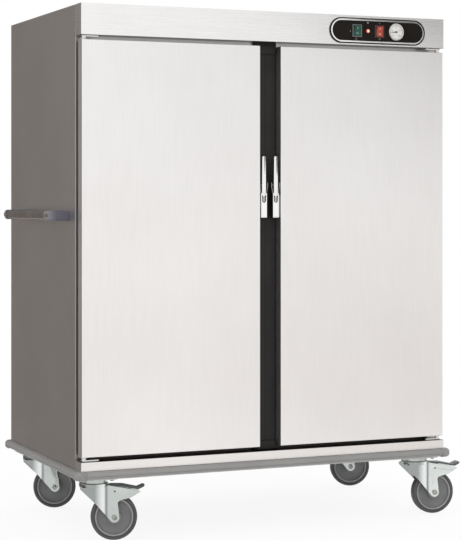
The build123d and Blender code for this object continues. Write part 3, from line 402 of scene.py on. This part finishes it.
def bracket_material():
    """Moulded bracket of the side handles, with a painted highlight: lighter on the outer part that the bar
    enters.
    """
    material, tree, shader = plain_material("handle_bracket", 0.0, Roughness=0.36)
    skin = tree.nodes.new("ShaderNodeGroup")
    skin.node_tree = STIPPLE
    skin.inputs["Stipple Size"].default_value = 700.0
    place = tree.nodes.new("ShaderNodeTexCoord")
    split = tree.nodes.new("ShaderNodeSeparateXYZ")
    tree.links.new(place.outputs["Object"], split.inputs[0])
    reach = tree.nodes.new("ShaderNodeMath")
    reach.operation = "ABSOLUTE"
    tree.links.new(split.outputs[0], reach.inputs[0])
    tone = mix(tree, skin.outputs["Mottle"], (0.085, 0.085, 0.115), (0.115, 0.115, 0.15))
    # Painted highlight: the outer part of the bracket is made lighter, standing for the light it catches.
    tone = mix(tree, ramp(tree, reach.outputs[0], 0.0, 1.0, 0.745, 0.772), tone, (0.20, 0.20, 0.215))
    tree.links.new(tone, shader.inputs["Base Color"])
    bump(tree, shader, skin.outputs["Stipple"], 0.3, 0.0001)
    return material


FINISH["handle_plastic"] = bracket_material()
for corner in CORNERS:
    # The front right fork is painted lighter all over, standing for the light that falls on it.
    glow = LIT_ZINC if corner == LIT_CORNER else PLAIN_ZINC
    FINISH[f"{corner}_zinc"] = fork_material(corner, FOLD_REACH[corner], glow)
FINISH["lamp_lens"] = lamp_material()
FINISH["dial_glass"] = glass_material()

NODE_FINISH = {
    "left_side_panel": "shaded_side_steel", "right_side_panel": "shaded_side_steel", "back_panel": "shaded_side_steel",
    "top_panel": "header_steel", "under_pan": "inner_steel", "header_fascia": "header_steel",
    "plinth": "plinth_steel", "chassis_frame": "frame_zinc", "left_liner": "inner_steel",
    "right_liner": "inner_steel", "insulation_slabs": "wool", "mullion_cover": "black_profile",
    "mullion_end_caps": "black_profile", "tray_racks": "rack_steel", "hinge_plates": "hinge_steel",
    "handle_bars": "handle_tube", "handle_ends": "handle_plastic", "long_bumpers": "bumper_plastic",
    "short_bumpers": "bumper_plastic", "bumper_corners": "corner_plastic", "caster_heads": "zinc",
    "caster_bolts": "bolt_zinc", "control_bezel": "bezel_chrome", "control_plate": "panel_black",
    "rocker_frames": "switch_frame", "green_rocker": "green_switch", "red_rocker": "red_switch",
    "pilot_lamp": "lamp_lens", "dial_case": "dial_case", "dial_needle": "needle",
    "fan_motors": "motor_paint", "heater_elements": "heater_sheath", "air_baffles": "inner_steel",
    "mains_gland": "gland_black",
}
for side in ("left", "right"):
    NODE_FINISH.update({
        f"{side}_door_skin": "door_steel", f"{side}_door_liner": "inner_steel", f"{side}_door_core": "foam",
        f"{side}_door_gasket": "gasket", f"{side}_door_bushes": "nylon", f"{side}_latch_housing": "latch_body",
        f"{side}_latch_lever": "latch_chrome", f"{side}_fan": "fan_metal"})
for corner in CORNERS:
    NODE_FINISH[f"{corner}_fork"] = f"{corner}_zinc"
    NODE_FINISH[f"{corner}_wheel"] = "wheel_hub"
for corner in ("front_left", "front_right"):
    NODE_FINISH[f"{corner}_pedal"] = "pedal_metal"


def dress_nodes():
    """Every carried-over solid gets its finish."""
    for name, finish in NODE_FINISH.items():
        node = NODES[name]
        node.data.materials.clear()
        node.data.materials.append(FINISH[finish])


dress_nodes()


# Modelling helpers

def clear():
    """Object mode with nothing selected."""
    if bpy.context.mode != "OBJECT":
        bpy.ops.object.mode_set(mode="OBJECT")
    bpy.ops.object.select_all(action="DESELECT")


def take(piece):
    """Make one piece the only one selected."""
    clear()
    piece.select_set(True)
    bpy.context.view_layer.objects.active = piece


def shape_mode(piece):
    """Edit mode on one piece with all of it selected."""
    take(piece)
    bpy.ops.object.mode_set(mode="EDIT")
    bpy.ops.mesh.select_mode(type="VERT")
    bpy.ops.mesh.select_all(action="SELECT")


def pick_points(piece, test):
    """In edit mode, select the points that a test takes."""
    bpy.ops.mesh.select_all(action="DESELECT")
    bpy.ops.mesh.select_mode(type="VERT")
    mesh = bmesh.from_edit_mesh(piece.data)
    for vert in mesh.verts:
        if test(vert):
            vert.select_set(True)
    bmesh.update_edit_mesh(piece.data)


def settle(piece):
    """Bake a piece's place and turn into its mesh."""
    take(piece)
    bpy.ops.object.transform_apply(location=True, rotation=True, scale=True)


def finish_piece(piece, name, finish, body, nodes=(), smooth=32.0):
    """Close the mesh, point its faces outward, shade it, and give it its finish and its body."""
    shape_mode(piece)
    bpy.ops.mesh.remove_doubles(threshold=0.00001)
    bpy.ops.mesh.normals_make_consistent(inside=False)
    settle(piece)
    bpy.ops.object.shade_smooth_by_angle(angle=math.radians(smooth))
    piece.name = name
    piece.data.name = name
    piece.data.materials.clear()
    piece.data.materials.append(FINISH[finish])
    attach(piece, body)
    if nodes:
        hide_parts(*nodes)
    return piece


def another(piece):
    """The same piece once more, with a mesh of its own."""
    clear()
    twin = bpy.data.objects.new(piece.name, piece.data.copy())
    bpy.context.scene.collection.objects.link(twin)
    return twin


def turned(profile, sides=64):
    """A turned ring or disc along Z: a circle extruded and resized through its radii and heights."""
    clear()
    radius, height = profile[0]
    bpy.ops.mesh.primitive_circle_add(vertices=sides, radius=radius, location=(0.0, 0.0, height))
    piece = bpy.context.object
    settle(piece)
    shape_mode(piece)
    for new_radius, new_height in profile[1:]:
        bpy.ops.mesh.extrude_region_move(TRANSFORM_OT_translate={"value": (0.0, 0.0, new_height - height)})
        grow = new_radius / radius
        bpy.ops.transform.resize(value=(grow, grow, 1.0))
        radius, height = new_radius, new_height
    return piece


def closed_ends(piece, low, high):
    """Fill the open rings at the two ends of a turned piece."""
    for level in (low, high):
        pick_points(piece, lambda v, z=level: abs(v.co.z - z) < 1e-6)
        bpy.ops.mesh.select_mode(type="EDGE")
        bpy.ops.mesh.edge_face_add()


def mirror_profile(half):
    """A profile and its reflection, closed on its first point."""
    return half + [(radius, -height) for radius, height in reversed(half)] + [half[0]]


def softened(node, finish, body, width, before=None, angle=35.0, smooth=32.0):
    """A copy of a solid with its sharp edges rounded over, shown in its place."""
    piece = bpy.data.objects.new(node, NODES[node].data.copy())
    bpy.context.scene.collection.objects.link(piece)
    shape_mode(piece)
    bpy.ops.mesh.remove_doubles(threshold=0.000002)
    bpy.ops.mesh.dissolve_limited(angle_limit=math.radians(0.4))
    if before:
        before(piece)
    take(piece)
    edge = piece.modifiers.new("rounded_edges", "BEVEL")
    edge.width = width
    edge.segments = 2
    edge.limit_method = "ANGLE"
    edge.angle_limit = math.radians(angle)
    bpy.ops.object.modifier_apply(modifier=edge.name)
    return finish_piece(piece, f"{node}_formed", finish, body, (node,), smooth)


# Casters

def stand(piece, corner, reach, height):
    """Stand a piece that was turned about Z at a caster, its axis along the axle."""
    sx, sy, toe = CORNERS[corner]
    turn = math.radians(toe)
    piece.rotation_euler = (math.radians(90.0), 0.0, -turn)
    piece.location = (sx * SWIVEL_X + reach * math.cos(turn), sy * SWIVEL_Y - reach * math.sin(turn), height)


def make_wheels():
    """Hub with a dished web and a long boss, a bead at its rim in a lighter grey that is a painted highlight,
    and a tyre with rounded shoulders.
    """
    hub = turned(mirror_profile([
        (0.0061, 0.0232), (0.0215, 0.0234), (0.0236, 0.0222), (0.0246, 0.0090), (0.0275, 0.0064),
        (0.0400, 0.0058), (0.0555, 0.0066), (0.0590, 0.0088), (0.0600, 0.0120), (0.0697, 0.0120)]))
    rim = turned(mirror_profile([
        (0.0601, 0.0121), (0.0606, 0.0150), (0.0618, 0.0163), (0.0650, 0.0166),
        (0.0660, 0.0150), (0.0664, 0.0121)]))
    tyre = turned(mirror_profile([
        (0.0666, 0.0121), (0.0670, 0.0148), (0.0698, 0.0156), (0.0704, 0.0172), (0.0722, 0.0179),
        (0.0752, 0.0177), (0.0776, 0.0160), (0.0792, 0.0122), (0.0799, 0.0060)]))
    for corner in CORNERS:
        for kind, finish, first in (("hub", "wheel_hub", hub), ("rim", "rim_highlight", rim),
                                     ("tyre", "tyre_rubber", tyre)):
            piece = another(first)
            stand(piece, corner, TRAIL, AXLE_Z)
            settle(piece)
            finish_piece(piece, f"{corner}_{kind}", finish, f"{corner}_wheel", (f"{corner}_wheel",))
    for first in (hub, rim, tyre):
        clear()
        bpy.data.objects.remove(first)


def fold_legs(corner, fold_reach):
    """The pressed fold of the fork's legs: ahead of it they lean outward."""
    sx, sy, toe = CORNERS[corner]
    turn = math.radians(toe)
    along = (math.cos(turn), -math.sin(turn), 0.0)
    across = (math.sin(turn), math.cos(turn), 0.0)
    axis = (sx * SWIVEL_X, sy * SWIVEL_Y, 0.0)

    def shape(piece):
        start = [axis[i] + along[i] * fold_reach for i in range(3)]
        bpy.ops.mesh.select_all(action="SELECT")
        bpy.ops.mesh.bisect(plane_co=start, plane_no=along)
        mesh = bmesh.from_edit_mesh(piece.data)
        for vert in mesh.verts:
            local = [vert.co[i] - axis[i] for i in range(3)]
            reach = sum(local[i] * along[i] for i in range(3))
            side = sum(local[i] * across[i] for i in range(3))
            if reach < fold_reach and LEG_INNER < abs(side) < LEG_OUTER and vert.co.z < LEG_TOP:
                lean = LEG_LEAN * (fold_reach - reach) * math.copysign(1.0, side)
                for i in range(3):
                    vert.co[i] += lean * across[i]
        bmesh.update_edit_mesh(piece.data)

    return shape


def darken_axle(piece, corner):
    """Give the axle bolt, its head and its nut the darker bolt finish."""
    sx, sy, toe = CORNERS[corner]
    turn = math.radians(toe)
    piece.data.materials.append(FINISH["bolt_zinc"])
    for face in piece.data.polygons:
        dx, dy = face.center[0] - sx * SWIVEL_X, face.center[1] - sy * SWIVEL_Y
        reach = dx * math.cos(turn) - dy * math.sin(turn)
        side = dx * math.sin(turn) + dy * math.cos(turn)
        near_axle = math.hypot(reach - TRAIL, face.center[2] - AXLE_Z) < AXLE_END_RADIUS
        if near_axle and abs(side) > LEG_OUTER + 0.0002:
            face.material_index = 1


def make_rivets():
    """The rivet that the brake pedal turns about, through the fork's wing."""
    first = turned(mirror_profile([(0.0003, 0.0306), (0.0020, 0.0305), (0.0030, 0.0300), (0.0031, 0.0289),
                                   (0.0022, 0.0288)]), 24)
    for corner in ("front_left", "front_right"):
        piece = another(first)
        stand(piece, corner, RIVET_REACH, RIVET_HEIGHT)
        settle(piece)
        finish_piece(piece, f"{corner}_rivet", "pedal_metal", f"{corner}_swivel")
    clear()
    bpy.data.objects.remove(first)


def make_forks():
    """Fork with its pressed fold and darker axle, and on the front casters the brake pedal."""
    for corner, (_, sy, _) in CORNERS.items():
        fork = softened(f"{corner}_fork", f"{corner}_zinc", f"{corner}_swivel", 0.0009,
                        fold_legs(corner, FOLD_REACH[corner]))
        darken_axle(fork, corner)
        if sy < 0:
            softened(f"{corner}_pedal", "pedal_metal", f"{corner}_pedal", 0.0011)


make_wheels()
make_forks()
make_rivets()


# Latches, hinges, handles and side panels

def make_outer_fittings():
    """Round the edges of the levers, the hinge plates, the handle brackets and the side panels."""
    for side in ("left", "right"):
        softened(f"{side}_latch_lever", "latch_chrome", f"{side}_latch", 0.0009)
    softened("hinge_plates", "hinge_steel", "cabinet", 0.0008)
    softened("handle_ends", "handle_plastic", "cabinet", 0.0035)
    for side in ("left", "right"):
        softened(f"{side}_side_panel", "shaded_side_steel", "cabinet", 0.0016, smooth=14.0)


make_outer_fittings()


# Control panel

def plate_outline(length, tall, place_y, steps=24):
    """The outline of a plate with round ends, upright on the header's front."""
    clear()
    radius = tall / 2
    bpy.ops.mesh.primitive_circle_add(vertices=4 * steps, radius=radius, location=(PANEL_X, place_y, PANEL_Z),
                                      rotation=(math.radians(90.0), 0.0, 0.0))
    piece = bpy.context.object
    settle(piece)
    shape_mode(piece)
    for side in (-1, 1):
        pick_points(piece, lambda v, s=side: s * (v.co.x - PANEL_X) > 0.0001)
        bpy.ops.transform.translate(value=(side * (length / 2 - radius), 0.0, 0.0))
    return piece


def make_bezel_seal():
    """The black rubber edge round the polished ring."""
    piece = plate_outline(SEAL_LENGTH, SEAL_TALL, FRONT)
    bpy.ops.mesh.select_all(action="SELECT")
    for inward, outward in ((0.0, 0.0044), (0.0008, 0.0), (0.0034, 0.0), (0.0, -0.0044)):
        bpy.ops.mesh.extrude_region_move(TRANSFORM_OT_translate={"value": (0.0, -outward, 0.0)})
        if inward:
            bpy.ops.transform.resize(value=((SEAL_LENGTH - 2 * inward) / SEAL_LENGTH, 1.0,
                                            (SEAL_TALL - 2 * inward) / SEAL_TALL),
                                     center_override=(PANEL_X, FRONT, PANEL_Z))
    finish_piece(piece, "bezel_seal", "bezel_seal", "cabinet")


def face_forward(piece, x, y, z, tilt=0.0):
    """Stand a flat piece made about Z on the header's front, facing the same way as the doors."""
    piece.location = (x, y, z)
    piece.rotation_euler = (math.radians(90.0 + tilt), 0.0, 0.0)
    settle(piece)


def small_bar(wide, tall, thick, rounding):
    """A short bar with its edges bevelled, lying flat."""
    clear()
    bpy.ops.mesh.primitive_cube_add(size=1.0, scale=(wide, tall, thick))
    piece = bpy.context.object
    settle(piece)
    shape_mode(piece)
    bpy.ops.mesh.bevel(offset=rounding, segments=2)
    return piece


def small_ring(radius, line, thick):
    """A thin flat ring."""
    half = thick / 2
    inside = radius - line
    return turned([(radius, -half), (radius, half), (inside, half), (inside, -half), (radius, -half)], 28)


def frame_line(wide, tall, line, thick):
    """A thin rectangular outline, lying flat."""
    clear()
    bpy.ops.mesh.primitive_plane_add(size=1.0)
    piece = bpy.context.object
    piece.scale = (wide, tall, 1.0)
    settle(piece)
    shape_mode(piece)
    bpy.ops.mesh.inset(thickness=line, depth=0.0)
    bpy.ops.mesh.delete(type="FACE")
    bpy.ops.mesh.select_all(action="SELECT")
    bpy.ops.mesh.extrude_region_move(TRANSFORM_OT_translate={"value": (0.0, 0.0, thick)})
    return piece


def joined(pieces):
    """Several pieces as one."""
    clear()
    for piece in pieces:
        piece.select_set(True)
    bpy.context.view_layer.objects.active = pieces[0]
    bpy.ops.object.join()
    return bpy.context.object


def make_switch_marks():
    """A bar and a ring on the upper and lower half of each rocker, and a thin line round its frame."""
    for name, x, mark, line in (("green", GREEN_X, "green_mark", "frame_grey"),
                                ("red", RED_X, "red_mark", "frame_red")):
        bar = small_bar(0.0022, 0.0075, 0.0006, 0.0002)
        face_forward(bar, x, PLATE_FRONT - 0.00635, PANEL_Z + 0.0087, 15.0)
        ring = small_ring(0.0036, 0.0012, 0.0006)
        face_forward(ring, x, PLATE_FRONT - 0.00385, PANEL_Z - 0.0092, 1.2)
        finish_piece(joined([bar, ring]), f"{name}_rocker_marks", mark, f"{name}_rocker")
        outline = frame_line(0.0372, 0.0442, 0.0024, 0.0004)
        face_forward(outline, x, PLATE_FRONT - 0.0020, PANEL_Z)
        finish_piece(outline, f"{name}_frame_line", line, "cabinet")


def make_panel_print():
    """Small grey signs printed beside the controls: bars, rings, and a spot over the lamp."""
    marks = []
    for x, z, kind in ((0.434, 1.8055, "bar"), (0.434, 1.7490, "ring"), (0.339, 1.7468, "ring"),
                       (0.315, 1.7735, "bar"), (0.386, 1.8060, "spot")):
        if kind == "bar":
            mark = small_bar(0.0020, 0.0046, INK_THICK, INK_ROUND)
        elif kind == "ring":
            mark = small_ring(0.0030, 0.0011, INK_THICK)
        else:
            mark = small_ring(0.0034, 0.0026, INK_THICK)
        face_forward(mark, x, PLATE_FRONT - 0.0001, z)
        marks.append(mark)
    finish_piece(joined(marks), "panel_print", "panel_print", "cabinet")


def make_dial():
    """The thermometer: rounded bright rim, white face, ticks and figures, flat window."""
    rim = turned([(0.0310, 0.0), (0.0310, 0.0096), (0.0304, 0.0112), (0.0292, 0.0120), (0.0280, 0.0120),
                  (0.0270, 0.0114), (DIAL_HOLLOW, 0.0104), (DIAL_HOLLOW, 0.0064), (DIAL_HOLLOW, 0.0),
                  (0.0310, 0.0)])
    face_forward(rim, DIAL_X, PLATE_FRONT, PANEL_Z)
    finish_piece(rim, "dial_rim", "dial_case", "cabinet", ("dial_case",))
    face = turned([(DIAL_HOLLOW, DIAL_FACE_BACK), (DIAL_HOLLOW, DIAL_FACE), (0.0011, DIAL_FACE),
                   (0.0011, DIAL_FACE_BACK), (DIAL_HOLLOW, DIAL_FACE_BACK)])
    face_forward(face, DIAL_X, PLATE_FRONT, PANEL_Z)
    finish_piece(face, "dial_face", "dial_paint", "cabinet", ("dial_case",))
    window = turned([(0.0265, WINDOW_BACK), (0.0265, WINDOW_FRONT)])
    closed_ends(window, WINDOW_BACK, WINDOW_FRONT)
    face_forward(window, DIAL_X, PLATE_FRONT, PANEL_Z)
    finish_piece(window, "dial_window", "dial_glass", "cabinet", ("dial_case",))
    marks = []
    for step in range(DIAL_STEPS + 1):
        angle = math.radians(DIAL_START + (DIAL_END - DIAL_START) * step / DIAL_STEPS)
        long_tick = step % 5 == 0
        wide, long, reach = (0.0011, 0.0042, 0.0222) if long_tick else (0.0006, 0.0026, 0.0230)
        tick = small_bar(wide, long, INK_THICK, INK_ROUND)
        tick.location = (reach * math.sin(angle), reach * math.cos(angle), DIAL_INK)
        tick.rotation_euler = (0.0, 0.0, -angle)
        settle(tick)
        marks.append(tick)
        if long_tick:
            clear()
            spot = (0.0158 * math.sin(angle), 0.0158 * math.cos(angle) - 0.0018, DIAL_INK)
            bpy.ops.object.text_add(location=spot)
            figure = bpy.context.object
            figure.data.body = str(DIAL_TOP * step // DIAL_STEPS)
            figure.data.size = 0.0052
            figure.data.align_x = "CENTER"
            figure.data.extrude = 0.0001
            bpy.ops.object.convert(target="MESH")
            figure = bpy.context.object
            settle(figure)
            marks.append(figure)
    ink = joined(marks)
    face_forward(ink, DIAL_X, PLATE_FRONT, PANEL_Z)
    finish_piece(ink, "dial_marks", "dial_ink", "cabinet", ("dial_case",))


make_bezel_seal()
make_switch_marks()
make_panel_print()
make_dial()


# Studio: white surroundings, a floor, and cards that the bright metal reflects

LEFT_SHADE = (0.212, 0.197, 0.190)


def white_backdrop(tree, lit, share):
    """Mix a lit surface with plain white, for rays from the camera and from glossy or clear surfaces."""
    path = tree.nodes.new("ShaderNodeLightPath")
    seen = tree.nodes.new("ShaderNodeMath")
    seen.operation = "MAXIMUM"
    tree.links.new(path.outputs["Is Camera Ray"], seen.inputs[0])
    tree.links.new(path.outputs["Is Glossy Ray"], seen.inputs[1])
    through = tree.nodes.new("ShaderNodeMath")
    through.operation = "MAXIMUM"
    tree.links.new(seen.outputs[0], through.inputs[0])
    tree.links.new(path.outputs["Is Transmission Ray"], through.inputs[1])
    part = tree.nodes.new("ShaderNodeMath")
    part.operation = "MULTIPLY"
    part.inputs[1].default_value = share
    tree.links.new(through.outputs[0], part.inputs[0])
    white = tree.nodes.new("ShaderNodeEmission")
    blend = tree.nodes.new("ShaderNodeMixShader")
    tree.links.new(part.outputs[0], blend.inputs[0])
    tree.links.new(lit, blend.inputs[1])
    tree.links.new(white.outputs[0], blend.inputs[2])
    tree.links.new(blend.outputs[0], tree.nodes["Material Output"].inputs["Surface"])


def reflection_card(name, wide, tall, place, tilt, heading, colour):
    """A flat card that only the cart's bright surfaces reflect; nothing else sees it."""
    clear()
    bpy.ops.mesh.primitive_plane_add(size=1.0, location=place,
                                     rotation=(math.radians(tilt), 0.0, math.radians(heading)))
    card = bpy.context.object
    card.name = name
    card.scale = (wide, tall, 1.0)
    material = bpy.data.materials.new(f"{name}_paint")
    material.use_nodes = True
    tree = material.node_tree
    tree.nodes.remove(tree.nodes["Principled BSDF"])
    glow = tree.nodes.new("ShaderNodeEmission")
    glow.inputs["Color"].default_value = (*colour, 1.0)
    tree.links.new(glow.outputs[0], tree.nodes["Material Output"].inputs["Surface"])
    card.data.materials.append(material)
    card.visible_camera = False
    card.visible_diffuse = False
    card.visible_shadow = False


def set_stage():
    """White floor, the cards, and an even white world."""
    clear()
    bpy.ops.mesh.primitive_plane_add(size=60.0, location=(0.0, 0.0, 0.0))
    floor = bpy.context.object
    floor.name = "studio_floor"
    material, tree, shader = plain_material("studio_floor_paint", 0.0)
    shader.inputs["Base Color"].default_value = (1.0, 1.0, 1.0, 1.0)
    shader.inputs["Roughness"].default_value = 0.8
    shader.inputs["Specular IOR Level"].default_value = 0.0
    white_backdrop(tree, shader.outputs[0], 0.90)
    floor.data.materials.append(material)
    reflection_card("left_card", 9.0, 6.0, (-3.3, 4.4, 3.0), 90.0, -23.0, LEFT_SHADE)
    reflection_card("left_floor_card", 5.0, 7.0, (-3.32, 3.1, 0.004), 0.0, 0.0, LEFT_SHADE)
    reflection_card("upper_right_card", 5.0, 3.0, (5.2, -5.0, 3.7), 90.0, 0.0, (0.12, 0.11, 0.105))
    reflection_card("front_floor_card", 3.6, 8.0, (0.85, -6.3, 0.003), 0.0, 28.3, (1.0, 0.945, 0.915))
    reflection_card("right_floor_card", 2.6, 8.0, (3.6, -4.8, 0.004), 0.0, 28.3, (0.72, 0.665, 0.64))

    world = bpy.data.worlds.new("studio_light")
    bpy.context.scene.world = world
    world.use_nodes = True
    world.cycles.sampling_method = "NONE"
    sky = world.node_tree.nodes["Background"]
    sky.inputs["Color"].default_value = (1.0, 1.0, 1.0, 1.0)
    sky.inputs["Strength"].default_value = 1.0


set_stage()


def set_camera():
    """The camera at the photograph's viewing angle."""
    data = bpy.data.cameras.new("photo_camera")
    data.sensor_width = CAMERA_SENSOR
    data.lens = CAMERA_LENS
    data.shift_y = CAMERA_RISE
    camera = bpy.data.objects.new("photo_camera", data)
    camera.location = CAMERA_PLACE
    camera.rotation_euler = (math.radians(90.0), 0.0, math.radians(CAMERA_HEADING))
    bpy.context.scene.collection.objects.link(camera)
    bpy.context.scene.camera = camera


set_camera()
bpy.context.scene.view_settings.view_transform = "Standard"
